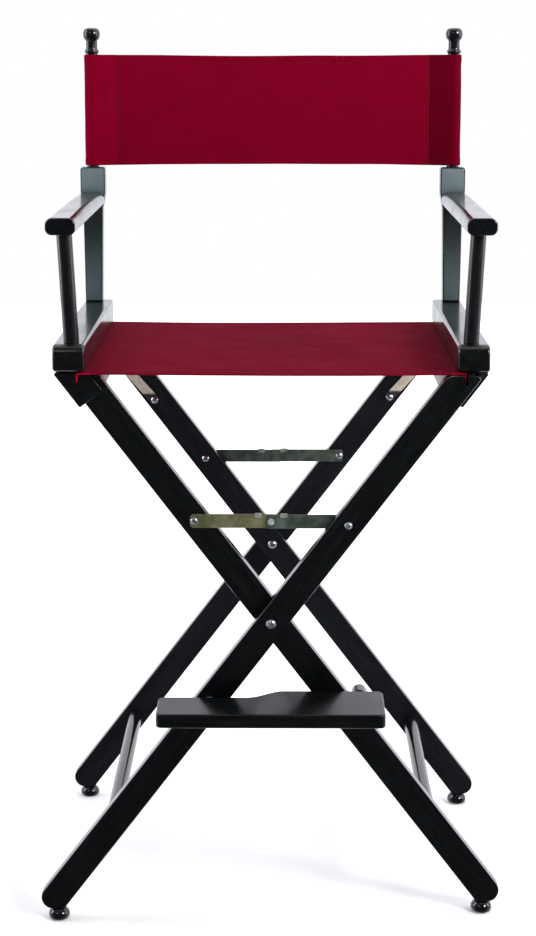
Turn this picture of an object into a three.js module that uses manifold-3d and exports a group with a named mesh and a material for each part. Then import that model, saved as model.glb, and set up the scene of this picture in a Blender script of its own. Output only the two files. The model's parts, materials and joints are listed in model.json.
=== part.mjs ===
// Tall folding director chair: two crossed wooden frames, folding steel braces, hinged
// arm frames, a canvas seat and back, and a swinging footrest.
// Millimetres, +Z up, the front faces -Y, the floor is Z = 0.
import * as THREE from 'three';
import { mergeVertices } from 'three/addons/utils/BufferGeometryUtils.js';
import Module from 'manifold-3d';

const wasm = await Module();
wasm.setup();

// ---------------------------------------------------------------- driving dimensions
const GAP = 0.3;

const LEG_ANGLE = THREE.MathUtils.degToRad(37.2);
const PIVOT_Z = 420;
const LEG_WIDTH = 38;
const LEG_THICK = 20;
const LEG_TOP_ROUND = 18;
const FOOT_BOTTOM_Z = 15.5;
const FOOT_CORNER_ROUND = 16.5;
const GLIDE_REACH_Z = 37;
const OUTER_LEG_Y = 220;
const INNER_LEG_Y = 193.5;
const LEG_EASE = 2;

const RAIL_TOP_Z = 757;
const RAIL_BOTTOM_Z = 710;
const RAIL_OUTSIDE = 27;
const RAIL_INSIDE = -12;
const RIGHT_RAIL_HALF_LENGTH = 207.4;
const LEFT_RAIL_HALF_LENGTH = 209.7;
const SLOT_X = 257;
const SLOT_WIDTH = 3.4;
const SLOT_DEPTH = 13;
const RAIL_EASE = 1;

const STRETCHER_RADIUS = 10.5;
const STRETCHER_Z = 135;

const GLIDE_RADIUS = 14.8;

const ARM_BASE_X = 267;
const ARM_BASE_WIDTH = 43;
const ARM_BASE_BOTTOM = 760.4;
const ARM_BASE_HEIGHT = 36;
const ARM_BASE_EASE = 4.5;
const ARM_FRONT_Y = -223;
const ARM_BASE_BACK_Y = 235;
const ARMREST_X = 275;
const ARMREST_WIDTH = 40;
const ARMREST_BOTTOM = 941;
const ARMREST_THICK = 23;
const FRONT_POST_RADIUS = 10.5;
const FRONT_POST_FOOT_X = 264.5;
const FRONT_POST_TOP_X = 272;
const FRONT_POST_Y = -200;
const BACK_POST_X = 272;
const BACK_POST_Y = 212;
const BACK_POST_DEPTH = 25;
const SHOULDER_Z = 1001;
const STEM_RADIUS = 9.2;
const FINIAL_TOP_Z = 1209;

const HINGE_X = 284;
const HINGE_Z = 764;
const HINGE_PIN_RADIUS = 1.9;
const STRAP_THICK = 2;
const STRAP_WIDTH = 14;
const STRAP_FOOT = { u: 290, v: 6 };

const LINK_WIDTH = 19;
const LINK_THICK = 1.5;
const LINK_DISTANCE = 170;
const SCREW_SHANK_RADIUS = 2.5;
const SCREW_HEAD_RADIUS = 5;
const SCREW_HEAD_THICK = 2.4;
const SCREW_HOLE_RADIUS = 2.9;
const BOLT_SHANK_RADIUS = 3.8;
const BOLT_HOLE_RADIUS = 4.3;
const BOLT_HEAD_RADIUS = 6.5;
const BOLT_HEAD_THICK = 2.8;
const SPACER_RADIUS = 11;
const RIVET_RADIUS = 4.2;
const TAB_START = 11;
const TAB_END = 24;
const STRAP_SCREW_DEPTH = 12;

const SEAT_THICK = 1.8;
const SEAT_LIFT = 0.6;
const SEAT_EDGE_DEPTH = 10.5;
const MIDDLE_GAP = 0.15;
const SEAT_FRONT_Y = -223;
const SEAT_BACK_Y = 246;
const BACK_THICK = 1.8;
const BACK_BOTTOM_Z = 1003.5;
const BACK_TOP_Z = 1169;
const SLEEVE_RADIUS = 12;
const SLEEVE_LENGTH = 36;

const FOOTREST_TOP_Z = 320;
const FOOTREST_THICK = 19;
const FOOTREST_FRONT_Y = -304;
const FOOTREST_HALF_WIDTH = 151;
const FOOTREST_SHALLOW_Y = -233.5;
const FOOTREST_DEEP_Y = -207;
const FOOTREST_STEP_START = -33;
const FOOTREST_STEP_END = 17;
const FOOTREST_PEG_RADIUS = 10.5;

const OUTER_LEG_FRONT = OUTER_LEG_Y + LEG_THICK / 2;
const OUTER_LEG_BACK = OUTER_LEG_Y - LEG_THICK / 2;
const INNER_LEG_FRONT = INNER_LEG_Y + LEG_THICK / 2;
const INNER_LEG_BACK = INNER_LEG_Y - LEG_THICK / 2;

const LEFT = -1;
const RIGHT = 1;
const FRONT = -1;
const REAR = 1;

// ---------------------------------------------------------------- materials
function wood() {
  return new THREE.MeshStandardMaterial({ color: 0x0b1012, roughness: 0.18, metalness: 0 });
}

function plastic() {
  return new THREE.MeshStandardMaterial({ color: 0x0a0a0c, roughness: 0.15, metalness: 0 });
}

function zincSteel() {
  return new THREE.MeshStandardMaterial({ color: 0x8f8b74, roughness: 0.4, metalness: 0.9 });
}

function tanSteel() {
  return new THREE.MeshStandardMaterial({ color: 0xc8b8a5, roughness: 0.5, metalness: 0.4 });
}

function blackSteel() {
  return new THREE.MeshStandardMaterial({ color: 0x101214, roughness: 0.45, metalness: 0.4 });
}

function canvas() {
  return new THREE.MeshStandardMaterial({ color: 0x7a0020, roughness: 0.9, metalness: 0 });
}

// ---------------------------------------------------------------- outlines and solids
// Points along a leg: u runs up the leg from the centre pivot, v runs outward from its
// centre line. side is the side on which the leg's top is.
function legPoint(u, v, side) {
  const x = u * Math.sin(LEG_ANGLE) + v * Math.cos(LEG_ANGLE);
  const z = PIVOT_Z + u * Math.cos(LEG_ANGLE) - v * Math.sin(LEG_ANGLE);
  return [side * x, z];
}

// The distance along the leg at which the line v reaches the height z.
function legReach(z, v) {
  return (z - PIVOT_Z + v * Math.sin(LEG_ANGLE)) / Math.cos(LEG_ANGLE);
}

// Points of a corner rounded with a true arc of radius r.
function cornerArc(before, corner, after, radius, steps) {
  const c = new THREE.Vector2(...corner);
  const a = new THREE.Vector2(...before).sub(c).normalize();
  const b = new THREE.Vector2(...after).sub(c).normalize();
  const half = Math.acos(a.dot(b)) / 2;
  const centre = c.clone().add(a.clone().add(b).normalize().multiplyScalar(radius / Math.sin(half)));
  const start = c.clone().addScaledVector(a, radius / Math.tan(half)).sub(centre);
  const end = c.clone().addScaledVector(b, radius / Math.tan(half)).sub(centre);
  const turn = Math.atan2(start.cross(end), start.dot(end));
  const points = [];
  for (let i = 0; i <= steps; i += 1) {
    const p = start.clone().rotateAround(new THREE.Vector2(), (turn * i) / steps).add(centre);
    points.push([p.x, p.y]);
  }
  return points;
}

// A closed outline from corners [a, b, radius].
function roundedShape(corners) {
  const points = corners.flatMap((corner, i) => {
    const [a, b, radius = 0] = corner;
    if (radius === 0) return [[a, b]];
    const before = corners[(i + corners.length - 1) % corners.length];
    const after = corners[(i + 1) % corners.length];
    const steps = radius > 6 ? 8 : 3;
    return cornerArc([before[0], before[1]], [a, b], [after[0], after[1]], radius, steps);
  });
  return new THREE.Shape(points.map(([a, b]) => new THREE.Vector2(a, b)));
}

// A board cut from an outline, between two planes of the third axis, with eased edges.
function board(shape, plane, from, to, ease = 0, easeSteps = 2) {
  const solid = new THREE.ExtrudeGeometry(shape, {
    depth: to - from - 2 * ease,
    bevelEnabled: ease > 0,
    bevelThickness: ease,
    bevelSize: ease,
    bevelOffset: -ease,
    bevelSegments: easeSteps,
    curveSegments: 8,
  });
  solid.translate(0, 0, ease);
  const turn = new THREE.Matrix4();
  const [x, y, z] = [0, 1, 2].map((i) => new THREE.Vector3().setComponent(i, 1));
  if (plane === 'XY') solid.translate(0, 0, from);
  if (plane === 'YZ') {
    solid.applyMatrix4(turn.makeBasis(y, z, x)).translate(from, 0, 0);
  }
  if (plane === 'XZ') {
    solid.applyMatrix4(turn.makeBasis(x, z, y.clone().negate())).translate(0, to, 0);
  }
  return solid;
}

function roundBar(radius, y0, y1, x, z, sides = 16) {
  const bar = new THREE.CylinderGeometry(radius, radius, y1 - y0, sides);
  return bar.translate(x, (y0 + y1) / 2, z);
}

function roundPost(radius, z0, z1, x, y, sides = 24) {
  const post = new THREE.CylinderGeometry(radius, radius, z1 - z0, sides);
  return post.rotateX(Math.PI / 2).translate(x, y, (z0 + z1) / 2);
}

function turned(profile, sides = 24) {
  const points = profile.map(([r, z]) => new THREE.Vector2(r, z));
  return new THREE.LatheGeometry(points, sides).rotateX(Math.PI / 2);
}

function box(x0, x1, y0, y1, z0, z1) {
  const solid = new THREE.BoxGeometry(x1 - x0, y1 - y0, z1 - z0);
  return solid.translate((x0 + x1) / 2, (y0 + y1) / 2, (z0 + z1) / 2);
}

function toManifold(geometry) {
  const bare = geometry.clone();
  bare.deleteAttribute('normal');
  bare.deleteAttribute('uv');
  const merged = mergeVertices(bare, 1e-4);
  return new wasm.Manifold(new wasm.Mesh({
    numProp: 3,
    vertProperties: new Float32Array(merged.attributes.position.array),
    triVerts: new Uint32Array(merged.index.array),
  }));
}

function toGeometry(manifold) {
  const mesh = manifold.getMesh();
  const geometry = new THREE.BufferGeometry();
  geometry.setAttribute('position', new THREE.BufferAttribute(mesh.vertProperties, 3));
  geometry.setIndex(new THREE.BufferAttribute(mesh.triVerts, 1));
  return geometry;
}

function cut(body, ...tools) {
  return toGeometry(tools.reduce((solid, tool) => solid.subtract(toManifold(tool)), toManifold(body)));
}

function join(body, ...others) {
  return toGeometry(others.reduce((solid, other) => solid.add(toManifold(other)), toManifold(body)));
}

const chair = new THREE.Group();
chair.name = 'director_chair';

function add(name, geometry, material) {
  const mesh = new THREE.Mesh(geometry, material);
  mesh.name = name;
  chair.add(mesh);
}

function sideName(side) {
  return side === LEFT ? 'left' : 'right';
}

function endName(end) {
  return end === FRONT ? 'front' : 'rear';
}

// Orders two Y planes for the front or the rear half of the chair.
function mirroredY(end, y0, y1) {
  return end === FRONT ? [-y1, -y0] : [y0, y1];
}

// ---------------------------------------------------------------- crossed frames
function canvasSlot(side, y0, y1) {
  const x = side * SLOT_X;
  const half = SLOT_WIDTH / 2;
  return box(x - half, x + half, y0 - 1, y1 + 1, RAIL_TOP_Z - SLOT_DEPTH, RAIL_TOP_Z + 5);
}

function leg(side, y0, y1, screwHoles) {
  const half = LEG_WIDTH / 2;
  const corners = [
    [...legPoint(legReach(FOOT_BOTTOM_Z, -half), -half, side), FOOT_CORNER_ROUND],
    [...legPoint(legReach(FOOT_BOTTOM_Z, half), half, side), 4],
    [...legPoint(legReach(RAIL_TOP_Z, half), half, side), 4],
    [...legPoint(legReach(RAIL_TOP_Z, -half), -half, side), LEG_TOP_ROUND],
  ];
  const blank = board(roundedShape(corners), 'XZ', y0, y1, LEG_EASE, 2);
  const holes = [canvasSlot(side, y0, y1), roundBar(BOLT_HOLE_RADIUS, y0 - 1, y1 + 1, 0, PIVOT_Z)];
  return cut(blank, ...holes, ...screwHoles);
}

// The blind hole that a hinge strap's screw goes into, from the leg's inward face.
function strapScrewHole(side, end) {
  const [x, z] = legPoint(STRAP_FOOT.u, STRAP_FOOT.v, side);
  const back = side === LEFT ? INNER_LEG_BACK : OUTER_LEG_BACK;
  const [y0, y1] = mirroredY(end, back - 1, back + STRAP_SCREW_DEPTH + GAP);
  return roundBar(SCREW_HOLE_RADIUS, y0, y1, x, z, 12);
}

function legPair(side, y, frame) {
  for (const end of [FRONT, REAR]) {
    const [y0, y1] = mirroredY(end, y - LEG_THICK / 2, y + LEG_THICK / 2);
    const [bx, bz] = legPoint(LINK_DISTANCE, 0, side);
    const linkHole = roundBar(SCREW_HOLE_RADIUS, y0 - 1, y1 + 1, bx, bz, 12);
    const holes = [linkHole, strapScrewHole(side, end)];
    add(`${frame}_${endName(end)}_leg`, leg(side, y0, y1, holes), wood());
  }
}

function railOutline(side) {
  const out = RAIL_OUTSIDE;
  const top = RAIL_TOP_Z;
  const bottomReach = legReach(RAIL_BOTTOM_Z, out);
  return roundedShape([
    [...legPoint(bottomReach, out, side), 2],
    [...legPoint(legReach(top, out), out, side), 2],
    [...legPoint(legReach(top, RAIL_INSIDE), RAIL_INSIDE, side), 10],
    [...legPoint(bottomReach, RAIL_INSIDE, side), 2],
  ]);
}

// The room that a let-in leg and its hinge strap take out of the left rail.
function legHousing(side, end) {
  const corners = (vOut) => roundedShape([
    legPoint(300, vOut, side),
    legPoint(520, vOut, side),
    legPoint(520, -60, side),
    legPoint(300, -60, side),
  ]);
  const [leg0, leg1] = mirroredY(end, INNER_LEG_BACK - GAP, INNER_LEG_FRONT + GAP);
  const strapBack = INNER_LEG_BACK - STRAP_THICK - 2 * GAP;
  const [strap0, strap1] = mirroredY(end, strapBack, INNER_LEG_BACK);
  return [
    board(corners(LEG_WIDTH / 2 + GAP), 'XZ', leg0, leg1),
    board(corners(RAIL_OUTSIDE - 1.6), 'XZ', strap0, strap1),
  ];
}

function addRail(side, halfLength, housings) {
  const outline = railOutline(side);
  const blank = board(outline, 'XZ', -halfLength, halfLength, RAIL_EASE, 1);
  const slot = canvasSlot(side, -halfLength, halfLength);
  add(`${sideName(side)}_seat_rail`, cut(blank, slot, ...housings), wood());
}

// The stretcher ties the two feet of one frame, so it lies opposite the frame's rail.
function addStretcher(name, side, halfLength) {
  const [x, z] = legPoint(legReach(STRETCHER_Z, 0), 0, side);
  add(name, roundBar(STRETCHER_RADIUS, -halfLength, halfLength, x, z, 28), wood());
}

// A domed glide, on the middle of the leg's flat end.
function addGlide(name, side, y) {
  const profile = [
    [0, 0], [11.6, 0], [14, 1.5], [GLIDE_RADIUS, 5], [14.3, 8.6],
    [12.8, 11.4], [10.6, 13.2], [9.4, FOOT_BOTTOM_Z - GAP], [0, FOOT_BOTTOM_Z - GAP],
  ];
  const [x] = legPoint(legReach(GLIDE_REACH_Z, 0), 0, side);
  add(name, turned(profile, 28).translate(x, y, 0), plastic());
}

function addFrames() {
  legPair(RIGHT, OUTER_LEG_Y, 'outer');
  legPair(LEFT, INNER_LEG_Y, 'inner');
  addRail(RIGHT, RIGHT_RAIL_HALF_LENGTH, []);
  addRail(LEFT, LEFT_RAIL_HALF_LENGTH, [...legHousing(LEFT, FRONT), ...legHousing(LEFT, REAR)]);
  addStretcher('outer_stretcher', RIGHT, OUTER_LEG_BACK - GAP);
  addStretcher('inner_stretcher', LEFT, INNER_LEG_BACK - GAP);
  for (const end of [FRONT, REAR]) {
    addGlide(`outer_${endName(end)}_glide`, RIGHT, end * OUTER_LEG_Y);
    addGlide(`inner_${endName(end)}_glide`, LEFT, end * INNER_LEG_Y);
  }
}

// ---------------------------------------------------------------- pivots and braces
// A screw along Y whose domed head sits on headY, with its shank reaching to endY.
function screw(x, z, headY, endY, shank, head, headThick) {
  const facing = Math.sign(headY - endY);
  const root = headY + facing * 0.5;
  const stem = roundBar(shank, Math.min(root, endY), Math.max(root, endY), x, z, 12);
  const dome = turned([
    [0, 0], [head, 0], [head * 0.94, headThick * 0.5], [head * 0.6, headThick * 0.9], [0, headThick],
  ], 20);
  dome.rotateX((-facing * Math.PI) / 2).translate(x, headY, z);
  return join(stem, dome);
}

function addPivot(end) {
  const headY = end === FRONT ? -OUTER_LEG_FRONT - GAP : INNER_LEG_BACK - GAP;
  const endY = end === FRONT ? -INNER_LEG_BACK : OUTER_LEG_FRONT;
  const sizes = [BOLT_SHANK_RADIUS, BOLT_HEAD_RADIUS, BOLT_HEAD_THICK];
  add(`${endName(end)}_pivot_bolt`, screw(0, PIVOT_Z, headY, endY, ...sizes), zincSteel());
  const [y0, y1] = mirroredY(end, INNER_LEG_FRONT + GAP, OUTER_LEG_BACK - GAP);
  const disc = roundBar(SPACER_RADIUS, y0, y1, 0, PIVOT_Z, 24);
  const hole = roundBar(BOLT_HOLE_RADIUS, y0 - 1, y1 + 1, 0, PIVOT_Z);
  add(`${endName(end)}_pivot_spacer`, cut(disc, hole), zincSteel());
}

// A brace link lies level between its leg hole and the centre rivet. Its top edge has a
// bent tab near the centre that stops the brace when it is straight.
function link(side, y0, y1, tabY0, tabY1) {
  const [x, z] = legPoint(LINK_DISTANCE, 0, side);
  const half = LINK_WIDTH / 2;
  const inner = side * -5;
  const outer = x + side * 6;
  const slant = side === LEFT ? 7 : 0;
  const shape = roundedShape([
    [outer, z - half, 5],
    [inner - side * slant, z - half, 1],
    [inner, z + half, slant === 0 ? 5 : 1],
    [outer, z + half, 5],
  ]);
  const [tabX0, tabX1] = side === LEFT ? [-TAB_END, -TAB_START] : [TAB_START, TAB_END];
  const tab = box(tabX0, tabX1, tabY0, tabY1, z + half - LINK_THICK, z + half);
  const hole = roundBar(SCREW_HOLE_RADIUS, y0 - 1, y1 + 1, x, z, 12);
  return cut(join(board(shape, 'XZ', y0, y1), tab), hole);
}

function addBrace(end) {
  const name = `${endName(end)}_brace`;
  const innerFace = INNER_LEG_FRONT + 0.4;
  const rivetFace = OUTER_LEG_BACK - 1.8;
  const outerFace = rivetFace - GAP;
  const [inner0, inner1] = mirroredY(end, innerFace, innerFace + LINK_THICK);
  const [outer0, outer1] = mirroredY(end, outerFace - LINK_THICK, outerFace);
  const [rivet0, rivet1] = mirroredY(end, rivetFace, rivetFace + 1.3);
  const [leftTab0, leftTab1] = mirroredY(end, innerFace, innerFace + 2);
  const [rightTab0, rightTab1] = mirroredY(end, outerFace - LINK_THICK, outerFace + LINK_THICK);
  const [, z] = legPoint(LINK_DISTANCE, 0, RIGHT);
  add(`${name}_left_link`, link(LEFT, inner0, inner1, leftTab0, leftTab1), zincSteel());
  add(`${name}_right_link`, link(RIGHT, outer0, outer1, rightTab0, rightTab1), zincSteel());
  add(`${name}_rivet`, roundBar(RIVET_RADIUS, rivet0, rivet1, 0, z, 20), zincSteel());
}

// The front brace's left screw and the rear brace's screws enter from the side that
// faces the front, as a person would see them.
function addBraceScrews() {
  for (const side of [LEFT, RIGHT]) {
    const [x, z] = legPoint(LINK_DISTANCE, 0, side);
    const inner = side === LEFT;
    const frontHead = inner ? -INNER_LEG_FRONT - 2.2 : -OUTER_LEG_FRONT - GAP;
    const frontEnd = inner ? -INNER_LEG_BACK - 2 : -OUTER_LEG_BACK + 4.4;
    const rearHead = inner ? INNER_LEG_BACK - GAP : OUTER_LEG_BACK - 3.9;
    const rearEnd = inner ? INNER_LEG_FRONT + 2 : OUTER_LEG_FRONT - 2;
    const name = `brace_${sideName(side)}_screw`;
    const sizes = [SCREW_SHANK_RADIUS, SCREW_HEAD_RADIUS, SCREW_HEAD_THICK];
    add(`front_${name}`, screw(x, z, frontHead, frontEnd, ...sizes), zincSteel());
    add(`rear_${name}`, screw(x, z, rearHead, rearEnd, ...sizes), zincSteel());
  }
}

// ---------------------------------------------------------------- arm frames
// The layer beside a leg in which its hinge strap lies.
function strapLayer(side, end) {
  const legBack = side === LEFT ? INNER_LEG_BACK : OUTER_LEG_BACK;
  return mirroredY(end, legBack - STRAP_THICK - GAP, legBack - GAP);
}

function addStrap(side, end) {
  const [y0, y1] = strapLayer(side, end);
  const [footX, footZ] = legPoint(STRAP_FOOT.u, STRAP_FOOT.v, side);
  const along = new THREE.Vector2(side * HINGE_X - footX, HINGE_Z - footZ).normalize();
  const across = new THREE.Vector2(-along.y, along.x);
  const half = STRAP_WIDTH / 2;
  const tip = 5;
  const corner = (x, z, a, c, r) => [x + along.x * a + across.x * c, z + along.y * a + across.y * c, r];
  const shape = roundedShape([
    corner(footX, footZ, -half, -half, half - 0.1),
    corner(side * HINGE_X, HINGE_Z, -12, -half, 3),
    corner(side * HINGE_X, HINGE_Z, tip, -tip, tip - 0.1),
    corner(side * HINGE_X, HINGE_Z, tip, tip, tip - 0.1),
    corner(side * HINGE_X, HINGE_Z, -12, half, 3),
    corner(footX, footZ, -half, half, half - 0.1),
  ]);
  const pinHole = roundBar(HINGE_PIN_RADIUS + GAP, y0 - 1, y1 + 1, side * HINGE_X, HINGE_Z, 12);
  const screwHole = roundBar(SCREW_HOLE_RADIUS, y0 - 1, y1 + 1, footX, footZ, 12);
  const name = `${sideName(side)}_${endName(end)}_hinge_strap`;
  const finish = end === FRONT ? blackSteel() : tanSteel();
  add(name, cut(board(shape, 'XZ', y0, y1), pinHole, screwHole), finish);
  const headY = end === FRONT ? y1 + GAP : y0 - GAP;
  const endY = headY + end * (STRAP_THICK + 2 * GAP + STRAP_SCREW_DEPTH);
  const sizes = [SCREW_SHANK_RADIUS, SCREW_HEAD_RADIUS, SCREW_HEAD_THICK];
  add(`${name}_screw`, screw(footX, footZ, headY, endY, ...sizes), zincSteel());
}

function strapSlit(side, end) {
  const [y0, y1] = strapLayer(side, end);
  const x0 = side * (HINGE_X - 27);
  const x1 = side * (HINGE_X + 8);
  return box(Math.min(x0, x1), Math.max(x0, x1), y0 - GAP, y1 + GAP, ARM_BASE_BOTTOM - 5, HINGE_Z + 8);
}

function pinRange(side, end) {
  const [y0, y1] = strapLayer(side, end);
  return [y0 - 5, y1 + 5];
}

function armBase(side) {
  const half = ARM_BASE_WIDTH / 2;
  const top = ARM_BASE_BOTTOM + ARM_BASE_HEIGHT;
  const outline = roundedShape([
    [ARM_FRONT_Y, ARM_BASE_BOTTOM, 5],
    [ARM_BASE_BACK_Y, ARM_BASE_BOTTOM, 5],
    [ARM_BASE_BACK_Y, top, 12],
    [ARM_FRONT_Y, top, 12],
  ]);
  const x = side * ARM_BASE_X;
  const blank = board(outline, 'YZ', x - half, x + half, ARM_BASE_EASE, 3);
  const tools = [FRONT, REAR].flatMap((end) => {
    const [y0, y1] = pinRange(side, end);
    const bore = roundBar(HINGE_PIN_RADIUS + GAP, y0 - GAP, y1 + GAP, side * HINGE_X, HINGE_Z, 12);
    return [strapSlit(side, end), bore];
  });
  return cut(blank, ...tools);
}

// A bar with rounded long edges, whose flat front end shows its section.
function armrest(side) {
  const half = ARMREST_WIDTH / 2;
  const butt = BACK_POST_Y - BACK_POST_DEPTH / 2 - GAP;
  const x = side * ARMREST_X;
  const top = ARMREST_BOTTOM + ARMREST_THICK;
  const section = roundedShape([
    [x - half, ARMREST_BOTTOM, 9],
    [x + half, ARMREST_BOTTOM, 9],
    [x + half, top, 10],
    [x - half, top, 10],
  ]);
  return board(section, 'XZ', ARM_FRONT_Y, butt, 2, 2);
}

function backPost(side) {
  const x = side * BACK_POST_X;
  const bottom = ARM_BASE_BOTTOM + ARM_BASE_HEIGHT + GAP;
  const foot = 13;
  const waist = 15;
  const shoulder = 18.8;
  const waistZ = SHOULDER_Z - 63;
  const shoulderZ = SHOULDER_Z - 39;
  const outline = roundedShape([
    [x - foot, bottom],
    [x + foot, bottom],
    [x + waist, waistZ, 6],
    [x + shoulder, shoulderZ, 6],
    [x + shoulder, SHOULDER_Z, 4],
    [x - shoulder, SHOULDER_Z, 4],
    [x - shoulder, shoulderZ, 6],
    [x - waist, waistZ, 6],
  ]);
  const half = BACK_POST_DEPTH / 2;
  const blank = board(outline, 'XZ', BACK_POST_Y - half, BACK_POST_Y + half, 2.5, 2);
  const top = FINIAL_TOP_Z;
  const stem = turned([
    [0, SHOULDER_Z - 6], [STEM_RADIUS, SHOULDER_Z - 6], [STEM_RADIUS, top - 37.5], [11, top - 36],
    [10.8, top - 34], [9, top - 32.5], [8.4, top - 30], [8.4, top - 19.5], [9.6, top - 18],
    [11.6, top - 15.5], [12.6, top - 11.5], [12.6, top - 8], [11.8, top - 4.5], [10, top - 2],
    [7.5, top - 0.6], [4, top], [0, top],
  ], 28);
  return join(blank, stem.translate(x, BACK_POST_Y, 0));
}

// The round front post leans outward a little and is cut level at both ends.
function frontPost(side) {
  const z0 = ARM_BASE_BOTTOM + ARM_BASE_HEIGHT + GAP;
  const z1 = ARMREST_BOTTOM - GAP;
  const lean = Math.atan((FRONT_POST_TOP_X - FRONT_POST_FOOT_X) / (z1 - z0));
  const x = (side * (FRONT_POST_TOP_X + FRONT_POST_FOOT_X)) / 2;
  const y = FRONT_POST_Y;
  const middle = (z0 + z1) / 2;
  const half = (z1 - z0) / 2 + 5;
  const post = roundPost(FRONT_POST_RADIUS, -half, half, 0, 0, 28);
  post.rotateY(side * lean).translate(x, y, middle);
  const below = box(x - 30, x + 30, y - 30, y + 30, z0 - 20, z0);
  const above = box(x - 30, x + 30, y - 30, y + 30, z1, z1 + 20);
  return cut(post, below, above);
}

function addArm(side) {
  const name = sideName(side);
  add(`${name}_arm_base`, armBase(side), wood());
  add(`${name}_armrest`, armrest(side), wood());
  add(`${name}_back_post`, backPost(side), wood());
  add(`${name}_front_post`, frontPost(side), wood());
  for (const end of [FRONT, REAR]) {
    addStrap(side, end);
    const [y0, y1] = pinRange(side, end);
    const pin = roundBar(HINGE_PIN_RADIUS, y0, y1, side * HINGE_X, HINGE_Z, 12);
    add(`${name}_${endName(end)}_hinge_pin`, pin, zincSteel());
  }
}

// ---------------------------------------------------------------- canvas
// Half of the seat: the panel, then the edge that drops into the rail's slot.
function seatHalf(side) {
  const z0 = RAIL_TOP_Z + SEAT_LIFT;
  const z1 = z0 + SEAT_THICK;
  const middle = side * MIDDLE_GAP;
  const outX = side * (SLOT_X + SEAT_THICK / 2);
  const inX = side * (SLOT_X - SEAT_THICK / 2);
  const bottom = RAIL_TOP_Z - SEAT_EDGE_DEPTH;
  const shape = roundedShape([
    [middle, z0], [middle, z1], [outX, z1, 1.5], [outX, bottom], [inX, bottom], [inX, z0],
  ]);
  return board(shape, 'XZ', SEAT_FRONT_Y, SEAT_BACK_Y);
}

// The two cloth layers that part at the seam and run to the sides of the round sleeve.
function sleeveWedge(side) {
  const seam = side * (BACK_POST_X - SLEEVE_LENGTH);
  const half = BACK_THICK / 2;
  const radius = SLEEVE_RADIUS - 0.05;
  const lean = Math.acos(radius / SLEEVE_LENGTH);
  const x = side * (BACK_POST_X - radius * Math.cos(lean));
  const y = radius * Math.sin(lean);
  const outline = roundedShape([
    [seam, BACK_POST_Y - half], [x, BACK_POST_Y - y], [x, BACK_POST_Y + y], [seam, BACK_POST_Y + half],
  ]);
  return board(outline, 'XY', BACK_BOTTOM_Z, BACK_TOP_Z);
}

// Half of the back: the panel, then the sleeve that widens from its seam to the post.
function backHalf(side) {
  const x = side * BACK_POST_X;
  const edges = [side * MIDDLE_GAP, side * (BACK_POST_X - SLEEVE_LENGTH + 1)];
  const half = BACK_THICK / 2;
  const [x0, x1] = [Math.min(...edges), Math.max(...edges)];
  const panel = box(x0, x1, BACK_POST_Y - half, BACK_POST_Y + half, BACK_BOTTOM_Z, BACK_TOP_Z);
  const sleeve = roundPost(SLEEVE_RADIUS, BACK_BOTTOM_Z, BACK_TOP_Z, x, BACK_POST_Y, 28);
  const room = roundPost(STEM_RADIUS + 0.9, BACK_BOTTOM_Z - 1, BACK_TOP_Z + 1, x, BACK_POST_Y, 28);
  return cut(join(panel, sleeveWedge(side), sleeve), room);
}

function addCanvas() {
  for (const side of [LEFT, RIGHT]) {
    add(`seat_canvas_${sideName(side)}_half`, seatHalf(side), canvas());
    add(`back_canvas_${sideName(side)}_half`, backHalf(side), canvas());
  }
}

// ---------------------------------------------------------------- footrest
// The rear edge is shallow in front of the outer leg and steps back in an S-curve.
function footrestOutline() {
  const half = FOOTREST_HALF_WIDTH;
  const start = FOOTREST_STEP_START;
  const end = FOOTREST_STEP_END;
  const steps = 12;
  const points = [[-half, FOOTREST_FRONT_Y, 8], [half, FOOTREST_FRONT_Y, 8], [half, FOOTREST_DEEP_Y, 8]];
  for (let i = steps; i >= 0; i -= 1) {
    const t = i / steps;
    const sweep = (1 - Math.cos(Math.PI * t)) / 2;
    const y = THREE.MathUtils.lerp(FOOTREST_SHALLOW_Y, FOOTREST_DEEP_Y, sweep);
    points.push([THREE.MathUtils.lerp(start, end, t), y]);
  }
  points.push([-half, FOOTREST_SHALLOW_Y, 8]);
  return roundedShape(points);
}

function addFootrest() {
  const bottom = FOOTREST_TOP_Z - FOOTREST_THICK;
  const middle = FOOTREST_TOP_Z - FOOTREST_THICK / 2;
  add('footrest_board', board(footrestOutline(), 'XY', bottom, FOOTREST_TOP_Z, 2.5, 2), wood());
  const reach = legReach(middle, 0);
  const [legX] = legPoint(reach, 0, LEFT);
  const restGap = (LEG_WIDTH / 2 + FOOTREST_PEG_RADIUS + GAP) / Math.cos(LEG_ANGLE);
  const pegX = legX + restGap;
  const peg = roundBar(FOOTREST_PEG_RADIUS, FOOTREST_DEEP_Y + GAP, -INNER_LEG_BACK + 2, pegX, middle, 28);
  add('footrest_peg', peg, wood());
  const hingeSpacer = roundBar(9, FOOTREST_SHALLOW_Y + GAP, -OUTER_LEG_FRONT - GAP, -legX, middle, 20);
  add('footrest_hinge_spacer', hingeSpacer, zincSteel());
}

// ---------------------------------------------------------------- assembly
addFrames();
for (const end of [FRONT, REAR]) {
  addPivot(end);
  addBrace(end);
}
addBraceScrews();
addArm(LEFT);
addArm(RIGHT);
addCanvas();
addFootrest();

// The origin is under the middle of the whole chair, footrest included.
const frontY = FOOTREST_FRONT_Y;
const rearY = SEAT_BACK_Y;
chair.position.y = -(frontY + rearY) / 2;

export default chair;
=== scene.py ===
"""Looks for the tall director chair: black lacquered wood, crimson canvas, zinc fittings."""
import json
import math

import bmesh
import bpy
import numpy as np
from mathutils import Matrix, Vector, noise

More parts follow.
